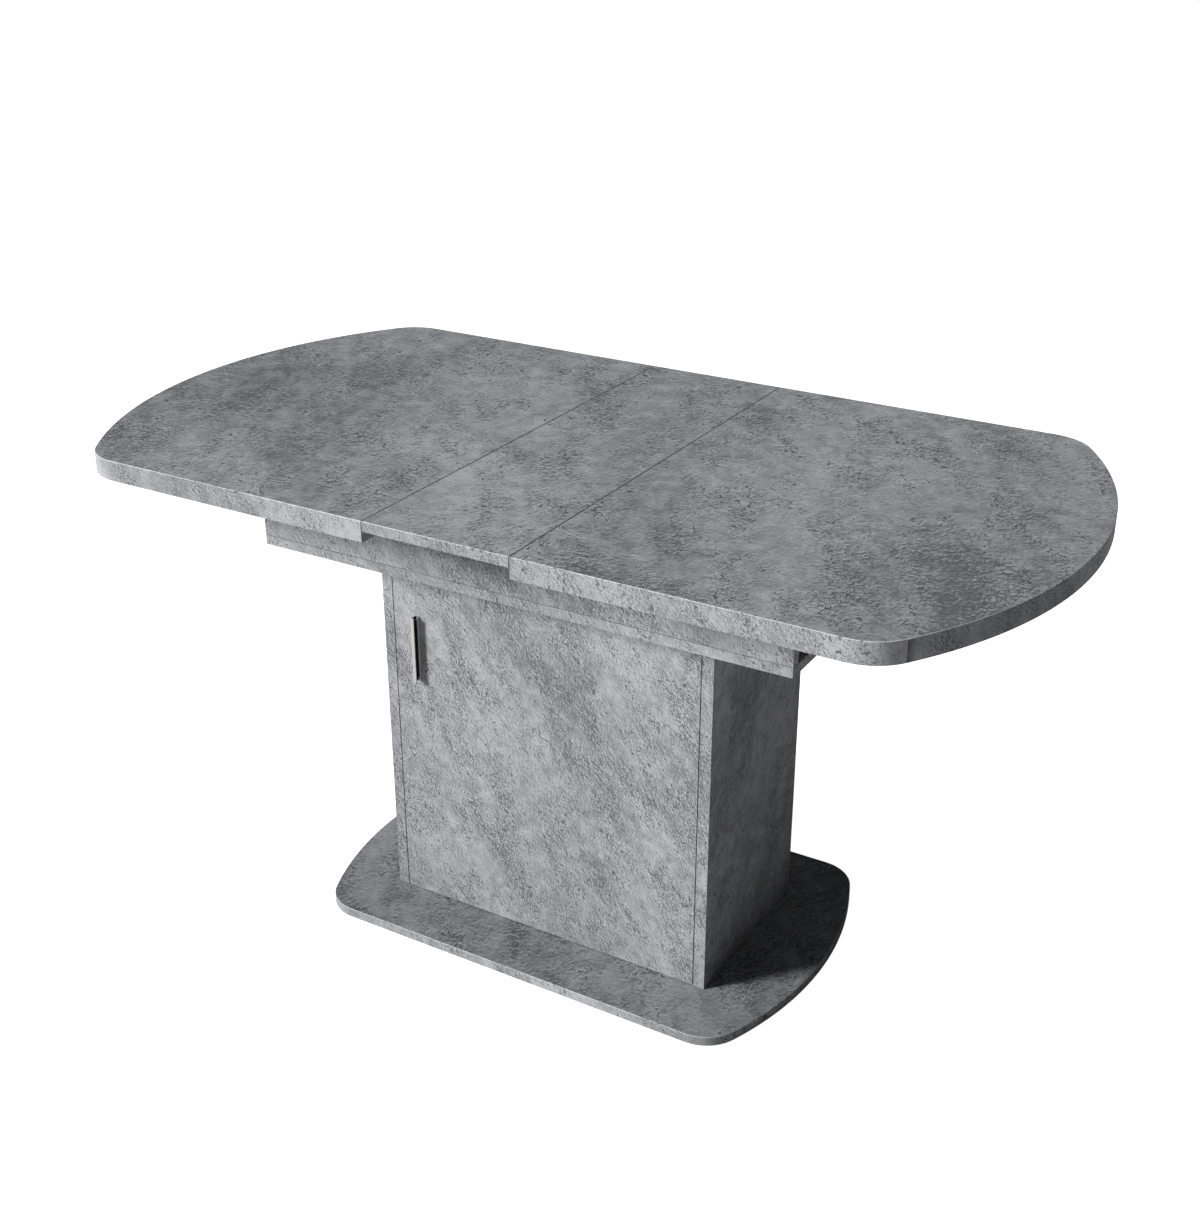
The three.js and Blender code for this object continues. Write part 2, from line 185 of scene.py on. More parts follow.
def tint(tree, amount, dark, light):
    """A colour between two, by an amount from 0 to 1."""
    node = tree.nodes.new("ShaderNodeMix")
    node.data_type = "RGBA"
    tree.links.new(amount, node.inputs["Factor"])
    for label, color in (("A", dark), ("B", light)):
        socket = [s for s in node.inputs if s.name == label and s.type == "RGBA"][0]
        if isinstance(color, tuple):
            socket.default_value = (*color, 1.0)
        else:
            tree.links.new(color, socket)
    return [s for s in node.outputs if s.type == "RGBA"][0]


def stretched(tree, vector, along):
    """The pattern plane turned to the slant of the streaks and squeezed along them."""
    turn = tree.nodes.new("ShaderNodeMapping")
    turn.inputs["Rotation"].default_value = (0.0, 0.0, -math.radians(streak_lean))
    tree.links.new(vector, turn.inputs["Vector"])
    squeeze = tree.nodes.new("ShaderNodeMapping")
    squeeze.inputs["Scale"].default_value = (along, 1.0, 1.0)
    tree.links.new(turn.outputs[0], squeeze.inputs["Vector"])
    return squeeze.outputs[0]


streak_lean = -57.0
long_squeeze = 0.40
short_squeeze = 0.9
large_pits = (150.0, 0.60, 0.67)
small_pits = (340.0, 0.60, 0.66)
middle_tone = 0.61
# The decor's tone also holds painted relief shading: each fine mark is drawn with a lit and a
# shaded side, as if a lamp stood on the sheet's light side.
decor, sheet_in, sheet_out = new_group(
    "concrete_decor",
    [("Sheet", "NodeSocketVector", None), ("Light side", "NodeSocketVector", None),
     ("Crumble", "NodeSocketFloat", 0.78), ("Painted shading", "NodeSocketFloat", 1.0)],
    [("Tone", "NodeSocketFloat"), ("Pits", "NodeSocketFloat"), ("Painted highlights", "NodeSocketFloat"),
     ("Relief", "NodeSocketFloat")])
sheet = sheet_in.outputs["Sheet"]
long_streaks = stretched(decor, sheet, long_squeeze)
short_streaks = stretched(decor, sheet, short_squeeze)
clouds = noise(decor, long_streaks, 6.0, 2.0, 0.5, 0.3)
smears = noise(decor, long_streaks, 12.0, 5.0, 0.6, 0.5)
mottle = noise(decor, short_streaks, 55.0, 4.0, 0.62, 0.4)
dark_smears = remap(decor, smears, 0.48, 0.66, 0.0, 1.0)
tone = calc(decor, "ADD", remap(decor, clouds, 0.25, 0.75, -0.36, 0.36),
            calc(decor, "MULTIPLY", dark_smears, -0.40))
tone = calc(decor, "ADD", tone, remap(decor, mottle, 0.25, 0.75, -0.34, 0.34))


def toward_light(distance):
    """The short streaks a little way off, on the lamp's side of each mark, for the painted relief
    shading and painted pit highlights.
    """
    moved = decor.nodes.new("ShaderNodeVectorMath")
    moved.operation = "MULTIPLY_ADD"
    moved.inputs[1].default_value = (distance, distance, 0.0)
    decor.links.new(sheet_in.outputs["Light side"], moved.inputs[0])
    decor.links.new(sheet, moved.inputs[2])
    return stretched(decor, moved.outputs[0], short_squeeze)


def crinkled(vector):
    """Fine trowel marks, one to three millimetres across. Crumble is their share of detail."""
    field = noise(decor, vector, 250.0, 3.0, 0.78, 0.6)
    decor.links.new(sheet_in.outputs["Crumble"], field.node.inputs["Roughness"])
    return field


def pitted(vector, scale, low, high):
    """Scattered pits: where a fine noise, raised inside crowded places, passes a threshold."""
    field = noise(decor, vector, scale, 3.0, 0.6, 0.6)
    return remap(decor, calc(decor, "ADD", field, pit_places), low, high, 0.0, 1.0)


crinkle = crinkled(short_streaks)
# Painted relief shading: the fine marks less the same marks moved towards the lamp.
painted_relief_shading = calc(decor, "SUBTRACT", crinkle, crinkled(toward_light(1.6 * MM)))
rough_places = remap(decor, noise(decor, long_streaks, 26.0, 4.0, 0.65, 0.4),
                     0.40, 0.62, 0.0, 1.0)
roughened = calc(decor, "ADD", calc(decor, "MULTIPLY", rough_places, 1.5),
                 calc(decor, "MULTIPLY", dark_smears, 0.8))
# The marks are the print's fine tone plus the painted relief shading.
marks = calc(decor, "ADD", calc(decor, "MULTIPLY", painted_relief_shading, calc(decor, "ADD", roughened, 1.3)),
             calc(decor, "MULTIPLY", remap(decor, crinkle, 0.25, 0.75, -0.3, 0.3),
                  calc(decor, "ADD", roughened, 0.4)))
tone = calc(decor, "ADD", tone, calc(decor, "MULTIPLY", marks, sheet_in.outputs["Painted shading"]))
pit_places = calc(decor, "ADD", remap(decor, rough_places, 0.0, 1.0, -0.075, 0.05),
                  calc(decor, "MULTIPLY", dark_smears, 0.02))
pits = calc(decor, "MAXIMUM", pitted(short_streaks, *large_pits),
            calc(decor, "MULTIPLY", pitted(short_streaks, *small_pits), 0.7))
# Painted highlight: a pale rim beside each large pit, on the side where its wall would face the
# lamp.
painted_pit_highlight = calc(decor, "SUBTRACT", pitted(toward_light(1.7 * MM), *large_pits), pits, clamp=True)
decor.links.new(calc(decor, "ADD", tone, middle_tone, clamp=True), sheet_out.inputs["Tone"])
decor.links.new(pits, sheet_out.inputs["Pits"])
decor.links.new(painted_pit_highlight, sheet_out.inputs["Painted highlights"])
relief = calc(decor, "ADD", calc(decor, "MULTIPLY", mottle, 0.4),
              calc(decor, "MULTIPLY", crinkle, 0.6))
decor.links.new(calc(decor, "SUBTRACT", relief, calc(decor, "MULTIPLY", pits, 0.7)),
                sheet_out.inputs["Relief"])


pit_color = (0.130, 0.133, 0.140)
# Colour of the painted highlights beside the pits.
pit_highlight_color = (0.50, 0.50, 0.51)


def concrete_laminate(name, dark, light, relief_height, roughness, enlarged=1.0,
                      light_side=30.0, crumble=0.78, painted_shading=1.0):
    """A matt printed sheet with a relief in its bump, from the decor group on the piece's own UV
    map. Enlarged is how much larger than the decor's own size the print is. Light side is the
    direction of the lamp on the sheet, in degrees, from which the painted relief shading and
    painted pit highlights are lit; painted shading is the strength of the painted relief shading."""
    material = bpy.data.materials.new(name)
    material.use_nodes = True
    tree = material.node_tree
    shader = tree.nodes["Principled BSDF"]
    shader.inputs["Specular IOR Level"].default_value = 0.35
    uv = tree.nodes.new("ShaderNodeUVMap")
    uv.uv_map = "sheet"
    scaled = tree.nodes.new("ShaderNodeMapping")
    scaled.inputs["Scale"].default_value = (1 / enlarged, 1 / enlarged, 1.0)
    tree.links.new(uv.outputs[0], scaled.inputs["Vector"])
    group = tree.nodes.new("ShaderNodeGroup")
    group.node_tree = decor
    tree.links.new(scaled.outputs[0], group.inputs["Sheet"])
    turn = math.radians(light_side)
    group.inputs["Light side"].default_value = (math.cos(turn), math.sin(turn), 0.0)
    group.inputs["Crumble"].default_value = crumble
    group.inputs["Painted shading"].default_value = painted_shading
    base = tint(tree, group.outputs["Tone"], dark, light)
    pit_highlighted = tint(tree, group.outputs["Painted highlights"], base, pit_highlight_color)
    tree.links.new(tint(tree, group.outputs["Pits"], pit_highlighted, pit_color),
                   shader.inputs["Base Color"])
    tree.links.new(remap(tree, group.outputs["Tone"], 0.0, 1.0, roughness + 0.08,
                         roughness - 0.05), shader.inputs["Roughness"])
    bump = tree.nodes.new("ShaderNodeBump")
    bump.inputs["Strength"].default_value = 1.0
    bump.inputs["Distance"].default_value = relief_height
    tree.links.new(group.outputs["Relief"], bump.inputs["Height"])
    tree.links.new(bump.outputs[0], shader.inputs["Normal"])
    return material


sheet_dark, sheet_light = (0.136, 0.140, 0.149), (0.472, 0.477, 0.498)
sheet_relief, sheet_roughness = 0.8 * MM, 0.55
# The level boards' light side is set from the key lamp at the front left, for their painted
# relief shading.
level_print = {"enlarged": 1.55, "light_side": -45.0, "crumble": 0.55}
laminate = concrete_laminate("concrete_laminate", sheet_dark, sheet_light, sheet_relief,
                             sheet_roughness)
top_laminate = concrete_laminate("concrete_top_laminate", sheet_dark, sheet_light,
                                 sheet_relief, sheet_roughness, painted_shading=0.65, **level_print)
# Painted shade: the base plate's sheet is the same print made darker, for the shade under the
# top.
base_laminate_painted_shade = concrete_laminate("concrete_laminate_painted_shade", (0.112, 0.116, 0.124),
                                  (0.400, 0.405, 0.422), sheet_relief, sheet_roughness,
                                  painted_shading=0.75, **level_print)
band_decor = concrete_laminate("concrete_edge_band", (0.205, 0.209, 0.219),
                               (0.490, 0.495, 0.515), 0.6 * MM, 0.5)
# Painted highlight: a paler sheet on the upper part of each band's top corner, for the light
# caught along the edge.
painted_edge_highlight = concrete_laminate("band_edge_painted_highlight", (0.52, 0.525, 0.54),
                                 (0.74, 0.745, 0.76), 0.2 * MM, 0.4)


def chipboard_material():
    """Raw chipboard: pressed flakes of several browns with a rough surface."""
    material = bpy.data.materials.new("chipboard")
    material.use_nodes = True
    tree = material.node_tree
    shader = tree.nodes["Principled BSDF"]
    place = tree.nodes.new("ShaderNodeTexCoord").outputs["Object"]
    flakes = tree.nodes.new("ShaderNodeTexVoronoi")
    flakes.inputs["Scale"].default_value = 420.0
    tree.links.new(place, flakes.inputs["Vector"])
    flake_tone = tree.nodes.new("ShaderNodeSeparateColor")
    tree.links.new(flakes.outputs["Color"], flake_tone.inputs[0])
    dust = noise(tree, place, 900.0, 3.0, 0.7)
    amount = calc(tree, "ADD", calc(tree, "MULTIPLY", flake_tone.outputs[0], 0.65),
                  calc(tree, "MULTIPLY", dust, 0.35))
    tree.links.new(tint(tree, amount, (0.20, 0.125, 0.065), (0.56, 0.42, 0.26)),
                   shader.inputs["Base Color"])
    tree.links.new(remap(tree, dust, 0.2, 0.8, 0.8, 0.95), shader.inputs["Roughness"])
    bump = tree.nodes.new("ShaderNodeBump")
    bump.inputs["Distance"].default_value = 0.3 * MM
    tree.links.new(amount, bump.inputs["Height"])
    tree.links.new(bump.outputs[0], shader.inputs["Normal"])
    return material


chipboard = chipboard_material()


def arc(centre, radius, start, end, steps):
    """Points and outward normals on a circle from one angle to another, in degrees."""
    turn = np.radians(np.linspace(start, end, steps + 1))
    normal = np.stack([np.cos(turn), np.sin(turn)], 1)
    return np.array(centre) + radius * normal, normal


def joined(*runs):
    """Several runs of points and normals as one outline."""
    return np.concatenate([r[0] for r in runs]), np.concatenate([r[1] for r in runs])


def bowed_end(length, width, bow, corner, inset, side):
    """One end of a bowed outline: a fillet, a wide arc and a fillet, counter-clockwise.
    The wide arc's centre lies on the middle line, and each fillet touches it and the side."""
    middle = length / 2 - bow
    fillet_y = width / 2 - corner
    fillet_x = middle + math.sqrt((bow - corner) ** 2 - fillet_y ** 2)
    turn = math.degrees(math.atan2(fillet_y, fillet_x - middle))
    points, normals = joined(
        arc((fillet_x, -fillet_y), corner - inset, -90, -turn, 12),
        arc((middle, 0), bow - inset, -turn, turn, 60),
        arc((fillet_x, fillet_y), corner - inset, turn, 90, 12))
    return points * side, normals * side


def rectangle(low, high, corner):
    """A rectangle with small rounded corners, counter-clockwise."""
    (x0, y0), (x1, y1) = low, high
    return joined(arc((x1 - corner, y0 + corner), corner, -90, 0, 3),
                  arc((x1 - corner, y1 - corner), corner, 0, 90, 3),
                  arc((x0 + corner, y1 - corner), corner, 90, 180, 3),
                  arc((x0 + corner, y0 + corner), corner, 180, 270, 3))


AXES = {"z": ((0, 1, 2), 1), "y": ((0, 2, 1), -1)}


def finished_mesh(name, points, faces, loop_normals, loop_uv, face_slots, materials):
    """A mesh with exact normals, the UV map 'sheet' in metres, and a material per face."""
    mesh = bpy.data.meshes.new(name)
    mesh.from_pydata(points.tolist(), [], faces)
    for material in materials:
        mesh.materials.append(material)
    mesh.uv_layers.new(name="sheet").data.foreach_set("uv", loop_uv.astype(np.float32).ravel())
    mesh.polygons.foreach_set("material_index", face_slots.astype(np.int32))
    mesh.polygons.foreach_set("use_smooth", np.array([len(face) == 4 for face in faces]))
    mesh.normals_split_custom_set(loop_normals.tolist())
    piece = bpy.data.objects.new(name, mesh)
    bpy.context.scene.collection.objects.link(piece)
    return piece


def slab(name, outline, bottom, top, rounding, materials, thick="z", shift=(0.0, 0.0)):
    """A board: its outline carried through its thickness, with a quarter round on both rims.
    At angle t of the round, the outline moves in by r(1 - sin t) and lies r(1 - cos t) from
    the face. Thick names the axis of the thickness. Materials are for the faces and the rim."""
    points, normals = outline
    count = len(points)
    t = np.radians(np.linspace(0, 90, 4))
    inset = np.concatenate([rounding * (1 - np.sin(t)), rounding * (1 - np.sin(t[::-1]))])
    level = np.concatenate([bottom + rounding * (1 - np.cos(t)),
                            top - rounding * (1 - np.cos(t[::-1]))])
    lift = np.concatenate([-np.cos(t), np.cos(t[::-1])])
    out = np.concatenate([np.sin(t), np.sin(t[::-1])])
    rings = len(level)
    flat = points[None] - inset[:, None, None] * normals[None]
    grid = np.concatenate([flat, np.broadcast_to(level[:, None, None], (rings, count, 1))], 2)
    slope = np.concatenate([normals[None] * out[:, None, None],
                            np.broadcast_to(lift[:, None, None], (rings, count, 1))], 2)
    run = np.concatenate([[0], np.cumsum(np.linalg.norm(np.diff(points, axis=0), axis=1))])
    closing = run[-1] + np.linalg.norm(points[0] - points[-1])

    ring, step = np.meshgrid(np.arange(rings - 1), np.arange(count), indexing="ij")
    after = (step + 1) % count
    quads = np.stack([ring * count + step, ring * count + after,
                      (ring + 1) * count + after, (ring + 1) * count + step], -1).reshape(-1, 4)
    along = np.where(after == 0, closing, run[after])
    rim_uv = np.stack([np.stack([run[step], level[ring]], -1), np.stack([along, level[ring]], -1),
                       np.stack([along, level[ring + 1]], -1),
                       np.stack([run[step], level[ring + 1]], -1)], -2).reshape(-1, 2)
    low_cap = np.arange(count)[::-1]
    top_cap = (rings - 1) * count + np.arange(count)
    cap_uv = np.concatenate([flat[0][::-1], flat[-1]])
    loops = np.concatenate([quads.ravel(), low_cap, top_cap])
    loop_normals = slope.reshape(-1, 3)[loops]
    loop_uv = np.concatenate([rim_uv, cap_uv]) + shift
    order, sense = AXES[thick]
    place = np.empty(3, int)
    place[list(order)] = range(3)
    loops_of = [list(q) for q in quads.tolist()] + [low_cap.tolist(), top_cap.tolist()]
    if sense < 0:
        sizes = np.array([len(f) for f in loops_of])
        ends = np.cumsum(sizes)
        reverse = np.concatenate([np.arange(e - 1, e - n - 1, -1) for e, n in zip(ends, sizes)])
        loops_of = [f[::-1] for f in loops_of]
        loop_normals, loop_uv = loop_normals[reverse], loop_uv[reverse]
    slots = np.concatenate([np.ones(len(quads)), np.zeros(2)])
    return finished_mesh(name, grid.reshape(-1, 3)[:, place], loops_of, loop_normals[:, place],
                         loop_uv, slots, materials)


def edge_band(name, outline, bottom, top, thickness, rounding, closed, shift=(0.0, 0.0)):
    """A plastic band: a rectangle with its two outer corners rounded, carried along an edge.
    Each point of the section lies at a depth behind the edge, against the edge normal, and at a
    level. The upper part of the top corner takes a paler sheet, a painted highlight along the
    edge."""
    points, normals = outline
    t = np.radians(np.linspace(0, 90, 5))
    depth = np.concatenate([[thickness], rounding * (1 - np.sin(t)),
                            rounding * (1 - np.sin(t[::-1])), [thickness]])
    level = np.concatenate([[bottom], bottom + rounding * (1 - np.cos(t)),
                            top - rounding * (1 - np.cos(t[::-1])), [top]])
    out = np.concatenate([[0], np.sin(t), np.sin(t[::-1]), [0]])
    lift = np.concatenate([[-1], -np.cos(t), np.cos(t[::-1]), [1]])
    count, ring = len(points), len(depth)
    flat = points[:, None] - depth[None, :, None] * normals[:, None]
    grid = np.concatenate([flat, np.broadcast_to(level[None, :, None], (count, ring, 1))], 2)
    slope = np.concatenate([normals[:, None] * out[None, :, None],
                            np.broadcast_to(lift[None, :, None], (count, ring, 1))], 2)
    run = np.concatenate([[0], np.cumsum(np.linalg.norm(np.diff(points, axis=0), axis=1))])
    across = level + np.where(depth == thickness, np.sign(lift) * thickness, 0)
    steps = count if closed else count - 1
    step, side = np.meshgrid(np.arange(steps), np.arange(ring), indexing="ij")
    after, beside = (step + 1) % count, (side + 1) % ring
    quads = np.stack([step * ring + side, after * ring + side,
                      after * ring + beside, step * ring + beside], -1).reshape(-1, 4)
    inner = -np.broadcast_to(np.concatenate([normals, np.zeros((count, 1))], 1)[:, None],
                             (count, ring, 3))
    is_inner = (side == ring - 1)[..., None]
    corner_normals = np.stack([np.where(is_inner, inner[s, b], slope[s, b])
                               for s, b in ((step, side), (after, side), (after, beside),
                                            (step, beside))], -2).reshape(-1, 3)
    closing = run[-1] + np.linalg.norm(points[0] - points[-1])
    along = np.where(after == 0, closing, run[after])
    rim_uv = np.stack([np.stack([u, across[b]], -1) for u, b in
                       ((run[step], side), (along, side), (along, beside), (run[step], beside))],
                      -2).reshape(-1, 2)
    faces = quads.tolist()
    first_highlighted, last_highlighted = len(t) + 2, 2 * len(t) - 1
    slots = np.where((side.ravel() >= first_highlighted) & (side.ravel() <= last_highlighted), 1, 0)
    if not closed:
        start, end = np.arange(ring), (count - 1) * ring + np.arange(ring)[::-1]
        faces += [end.tolist(), start.tolist()]
        slots = np.append(slots, [0, 0])
        tangents = [np.append(points[-1] - points[-2], 0), np.append(points[0] - points[1], 0)]
        for cap, tangent in zip((end, start), tangents):
            corner_normals = np.concatenate(
                [corner_normals, np.tile(tangent / np.linalg.norm(tangent), (ring, 1))])
            rim_uv = np.concatenate([rim_uv, np.stack([depth[cap % ring], level[cap % ring]], 1)])
    return finished_mesh(name, grid.reshape(-1, 3), faces, corner_normals, rim_uv + shift,
                         slots, [band_decor, painted_edge_highlight])


def box_sheet(mesh):
    """Lays the print on a mesh: each face takes the two axes that it lies in, in metres."""
    loops = len(mesh.loops)
    vertex = np.empty(loops, np.int32)
    mesh.loops.foreach_get("vertex_index", vertex)
    place = np.empty(len(mesh.vertices) * 3)
    mesh.vertices.foreach_get("co", place)
    place = place.reshape(-1, 3)[vertex]
    facing = np.empty(len(mesh.polygons) * 3)
    mesh.polygons.foreach_get("normal", facing)
    counts = np.empty(len(mesh.polygons), np.int32)
    mesh.polygons.foreach_get("loop_total", counts)
    main = np.repeat(np.abs(facing.reshape(-1, 3)).argmax(1), counts)
    u = np.where(main == 0, -place[:, 1], place[:, 0])
    v = np.where(main == 2, place[:, 1], place[:, 2])
    layer = mesh.uv_layers.get("sheet") or mesh.uv_layers.new(name="sheet")
    layer.data.foreach_set("uv", np.stack([u, v], 1).astype(np.float32).ravel())


def dressed(node, body, materials, rounding, flat_axis=None):
    """A merged copy of a CAD node with its edges rounded. Materials are for the faces that lie
    across flat_axis and for all others, or one for all."""
    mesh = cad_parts[node].data.copy()
    mesh.name = node + "_finished"
    solid = bmesh.new()
    solid.from_mesh(mesh)
    bmesh.ops.remove_doubles(solid, verts=solid.verts, dist=0.005 * MM)
    bmesh.ops.dissolve_limit(solid, angle_limit=math.radians(0.5), verts=solid.verts,
                             edges=solid.edges)
    bmesh.ops.recalc_face_normals(solid, faces=solid.faces)
    for face in solid.faces:
        across = flat_axis is not None and abs(face.normal[flat_axis]) < 0.7
        face.material_index = 1 if across else 0
        face.smooth = True
    solid.to_mesh(mesh)
    solid.free()
    mesh.materials.clear()
    for material in materials:
        mesh.materials.append(material)
    while mesh.uv_layers:
        mesh.uv_layers.remove(mesh.uv_layers[0])
    box_sheet(mesh)
    mesh.set_sharp_from_angle(angle=math.radians(30))
    piece = bpy.data.objects.new(node + "_finished", mesh)
    bpy.context.scene.collection.objects.link(piece)
    bevel = piece.modifiers.new("rounding", "BEVEL")
    bevel.width = rounding
    bevel.segments = 2
    bevel.limit_method = "ANGLE"
    bevel.angle_limit = math.radians(40)
    bevel.harden_normals = True
    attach(piece, body)
    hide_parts(node)
    return piece


top_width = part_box("left_edge_band")[1].y * 2
top_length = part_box("right_edge_band")[1].x * 2
top_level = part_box("leaf_panel")[1].z
bow_radius = 625 * MM
corner_radius = 75 * MM
band_thickness = 1.0 * MM
band_seam = 0.03 * MM
edge_rounding = 0.9 * MM
cut_rounding = 0.4 * MM
cut_setback = 0.55 * MM
for side_name, side in (("left", -1), ("right", 1)):
    body = side_name + "_top"
    cut = min(abs(c.x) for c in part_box(side_name + "_top_panel")) + cut_setback
    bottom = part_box(side_name + "_edge_band")[0].z
    panel_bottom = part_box(side_name + "_top_panel")[0].z
    inset = band_thickness + band_seam
    side_y = top_width / 2 - inset
    bow = bowed_end(top_length, top_width, bow_radius, corner_radius, inset, 1)
    first = arc((cut + cut_rounding, cut_rounding - side_y), cut_rounding, 180, 270, 3)
    last = arc((cut + cut_rounding, side_y - cut_rounding), cut_rounding, 90, 180, 3)
    outline = tuple(side * part for part in joined(first, bow, last))
    panel = slab(side_name + "_panel_faced", outline, panel_bottom, top_level, cut_rounding,
                 [top_laminate, band_decor])
    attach(panel, body)
    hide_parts(side_name + "_top_panel")

    bow = bowed_end(top_length, top_width, bow_radius, corner_radius, 0, 1)
    ends = (np.array([[cut, -top_width / 2]]), np.array([[0.0, -1.0]]))
    far = (np.array([[cut, top_width / 2]]), np.array([[0.0, 1.0]]))
    rim = tuple(side * part for part in joined(ends, bow, far))
    band = edge_band(side_name + "_band_rounded", rim, bottom, top_level, band_thickness,
                     edge_rounding, False, shift=(0.4 * side, 0.1))
    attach(band, body)
    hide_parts(side_name + "_edge_band")

    for place in ("front", "back", "end", "inner"):
        dressed(f"{side_name}_{place}_strip", body, [laminate, chipboard],
                0.3 * MM, flat_axis=2)


# ---- Centre leaf ----
# A single board in the same sheet, thinner at its edge than the halves. Two beech battens under
# it rest on the aprons and bring its face level with the halves.
leaf_low, leaf_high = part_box("leaf_panel")
half_leaf = leaf_high.x - cut_setback
side_y = top_width / 2 - band_thickness - band_seam
panel = slab("leaf_panel_faced", rectangle((-half_leaf, -side_y), (half_leaf, side_y),
                                           cut_rounding),
             leaf_low.z, leaf_high.z, cut_rounding, [top_laminate, band_decor])
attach(panel, "leaf")
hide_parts("leaf_panel")
for face_name, face in (("front", -1), ("back", 1)):
    y = face * top_width / 2
    edge = (np.array([[face * -half_leaf, y], [face * half_leaf, y]]) * (-1, 1),
            np.array([[0.0, face]] * 2))
    band = edge_band(f"leaf_{face_name}_band_rounded", edge, leaf_low.z, leaf_high.z,
                     band_thickness, edge_rounding, False, shift=(0.9 + 0.2 * face, 0.3))
    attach(band, "leaf")
    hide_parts(f"leaf_{face_name}_edge_band")


def beech_material():
    """Planed beech: pale pink-brown with fine growth lines along X and short dark flecks."""
    material = bpy.data.materials.new("beech")
    material.use_nodes = True
    tree = material.node_tree
    shader = tree.nodes["Principled BSDF"]
    place = tree.nodes.new("ShaderNodeTexCoord").outputs["Object"]
    lengthwise = tree.nodes.new("ShaderNodeMapping")
    lengthwise.inputs["Scale"].default_value = (0.05, 1.0, 1.0)
    tree.links.new(place, lengthwise.inputs["Vector"])
    rings = noise(tree, lengthwise.outputs[0], 160.0, 4.0, 0.6, 0.8)
    rays = noise(tree, lengthwise.outputs[0], 1400.0, 2.0, 0.6)
    amount = calc(tree, "ADD", calc(tree, "MULTIPLY", rings, 0.7),
                  calc(tree, "MULTIPLY", rays, 0.3))
    tree.links.new(tint(tree, remap(tree, amount, 0.35, 0.65, 0.0, 1.0),
                        (0.36, 0.20, 0.10), (0.58, 0.39, 0.23)), shader.inputs["Base Color"])
    tree.links.new(remap(tree, rays, 0.3, 0.7, 0.5, 0.65), shader.inputs["Roughness"])
    bump = tree.nodes.new("ShaderNodeBump")
    bump.inputs["Distance"].default_value = 0.1 * MM
    tree.links.new(amount, bump.inputs["Height"])
    tree.links.new(bump.outputs[0], shader.inputs["Normal"])
    return material


beech = beech_material()
for face_name in ("front", "back"):
    dressed(f"leaf_{face_name}_batten", "leaf", [beech], 1.2 * MM)


# ---- Tray ----
# A board with an apron standing on its front and back edges, all in the same sheet. It is open
# at both ends, carries the slides, and stores the leaf when the table is closed.
def faced_board(node, body, thick, shift, thinner=0.0):
    """A rectangular board in the place and size of a CAD node, banded on its rim.
    Thinner takes a little off its upper face, for a fine groove under what stands on it."""
    low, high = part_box(node)
    a, b, c = AXES[thick][0]
    outline = rectangle((low[a], low[b]), (high[a], high[b]), board_corner)
    piece = slab(node + "_faced", outline, low[c], high[c] - thinner, board_rounding,
                 [laminate, band_decor], thick, shift)
    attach(piece, body)
    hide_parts(node)


board_corner = 0.5 * MM
board_rounding = 0.45 * MM
faced_board("tray_board", "pedestal", "z", (0.33, 0.27), thinner=0.5 * MM)
faced_board("front_apron", "pedestal", "y", (1.3, 0.5))
faced_board("back_apron", "pedestal", "y", (2.1, 0.8))


# ---- Slides and runners ----
# Ball-bearing slides of zinc-plated steel: a channel screwed to the apron, a channel screwed to
# a beech runner under the top, and a nickel-plated retainer that holds the balls between them.
def plated_steel(name, dark, light, roughness):
    """Rolled and plated sheet steel, with faint cloudy spangle and fine scratches along X."""
    material = bpy.data.materials.new(name)
    material.use_nodes = True
    tree = material.node_tree
    shader = tree.nodes["Principled BSDF"]
    shader.inputs["Metallic"].default_value = 0.85
    place = tree.nodes.new("ShaderNodeTexCoord").outputs["Object"]
    drawn = tree.nodes.new("ShaderNodeMapping")
    drawn.inputs["Scale"].default_value = (0.04, 1.0, 1.0)
    tree.links.new(place, drawn.inputs["Vector"])
    spangle = noise(tree, place, 260.0, 3.0, 0.6)
    scratches = noise(tree, drawn.outputs[0], 2600.0, 2.0, 0.6)
    amount = calc(tree, "ADD", calc(tree, "MULTIPLY", spangle, 0.6),
                  calc(tree, "MULTIPLY", scratches, 0.4))
    tree.links.new(tint(tree, remap(tree, amount, 0.3, 0.7, 0.0, 1.0), dark, light),
                   shader.inputs["Base Color"])
    tree.links.new(remap(tree, amount, 0.3, 0.7, roughness + 0.1, roughness - 0.06),
                   shader.inputs["Roughness"])
    bump = tree.nodes.new("ShaderNodeBump")
    bump.inputs["Distance"].default_value = 0.03 * MM
    tree.links.new(scratches, bump.inputs["Height"])
    tree.links.new(bump.outputs[0], shader.inputs["Normal"])
    return material


zinc_steel = plated_steel("zinc_steel", (0.42, 0.43, 0.45), (0.66, 0.67, 0.68), 0.36)
nickel_steel = plated_steel("nickel_steel", (0.52, 0.50, 0.46), (0.74, 0.71, 0.66), 0.26)
ball_radius = 2.4 * MM
ball_spacing = 20 * MM
ball_sides = 12
channel_wall = 1.2 * MM


